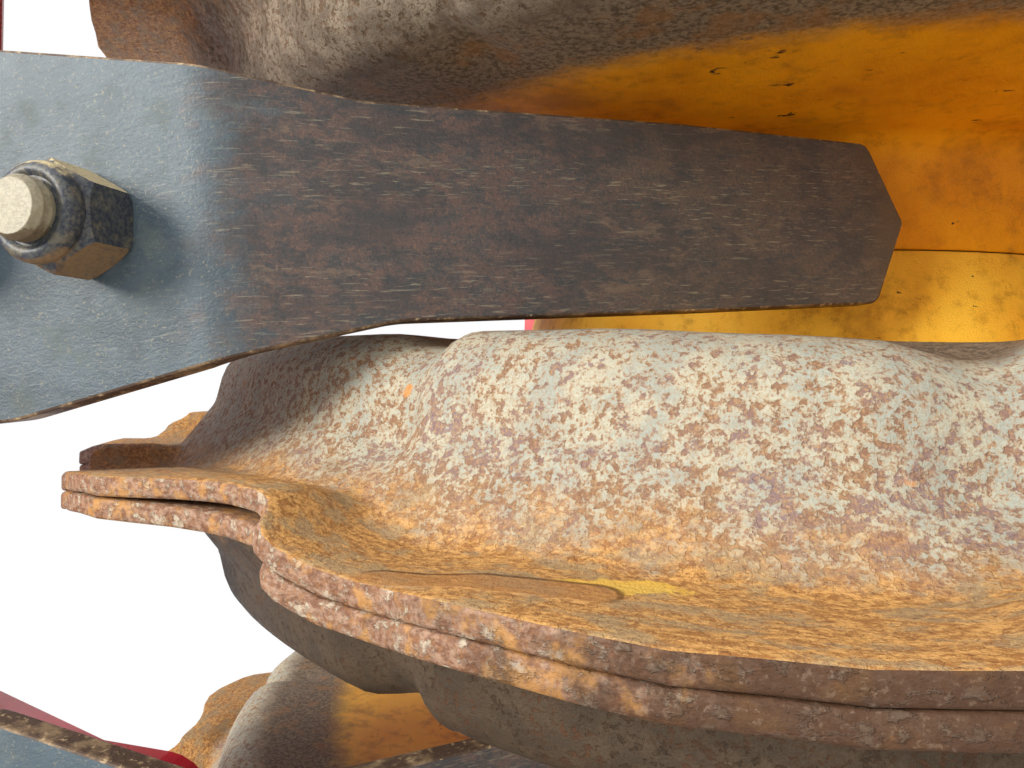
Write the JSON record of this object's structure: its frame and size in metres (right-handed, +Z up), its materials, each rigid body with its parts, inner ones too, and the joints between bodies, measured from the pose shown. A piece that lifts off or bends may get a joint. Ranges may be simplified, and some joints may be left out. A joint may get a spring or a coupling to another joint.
{
  "type": "ring packer roller section",
  "caption": "Towed disc harrow's rear packer roller: lobed steel rings on a free-turning core, in a red frame with a bar of bent scrapers.",
  "frame": {"origin": "centre of the bolt pattern on the mounting plate's front face", "axes": "+X along the roller axle to the machine's right, +Y in the direction of travel, +Z up"},
  "size_m": [1.3296, 0.7172, 0.5545],
  "materials": {
    "ring_steel": "pressed steel sheet, amber paint left in the valleys, worn grey and rusted outside",
    "core_steel": "amber paint with rust at the welds",
    "scraper_steel": "dark worn steel with tan dust and brown rust",
    "bright_steel": "turned steel",
    "cast_housing": "painted cast iron",
    "frame_paint": "red gloss paint, dusty"
  },
  "bodies": {
    "frame": {"mounting_plate": "frame_paint", "cross_beam": "frame_paint", "arm_left": "frame_paint", "arm_right": "frame_paint", "gusset_left": "frame_paint", "gusset_right": "frame_paint", "housing_left": "cast_housing", "housing_right": "cast_housing", "bearing_left": "bright_steel", "bearing_right": "bright_steel", "scraper_bar": "frame_paint", "bar_foot_left": "frame_paint", "bar_foot_right": "frame_paint", "lug_1": "frame_paint", "lug_2": "frame_paint", "lug_3": "frame_paint", "lug_4": "frame_paint", "lug_5": "frame_paint", "lug_6": "frame_paint", "lug_7": "frame_paint", "scraper_1": "scraper_steel", "scraper_2": "scraper_steel", "scraper_3": "scraper_steel", "scraper_4": "scraper_steel", "scraper_5": "scraper_steel", "scraper_6": "scraper_steel", "scraper_7": "scraper_steel"},
    "roller": {"core_tube": "core_steel", "end_disc_left": "core_steel", "end_disc_right": "core_steel", "shaft_left": "bright_steel", "shaft_right": "bright_steel", "collar_left": "scraper_steel", "collar_right": "scraper_steel", "ring_1_left": "ring_steel", "ring_2_left": "ring_steel", "ring_3_left": "ring_steel", "ring_4_left": "ring_steel", "ring_5_left": "ring_steel", "ring_6_left": "ring_steel", "ring_7_left": "ring_steel", "ring_8_left": "ring_steel", "ring_1_right": "ring_steel", "ring_2_right": "ring_steel", "ring_3_right": "ring_steel", "ring_4_right": "ring_steel", "ring_5_right": "ring_steel", "ring_6_right": "ring_steel", "ring_7_right": "ring_steel", "ring_8_right": "ring_steel"}
  },
  "joints": [
    {"name": "roller_spin", "type": "hinge", "parent": "frame", "child": "roller", "pos_m": [0, -0.43, -0.17], "axis": [1, 0, 0], "continuous": true}
  ]
}
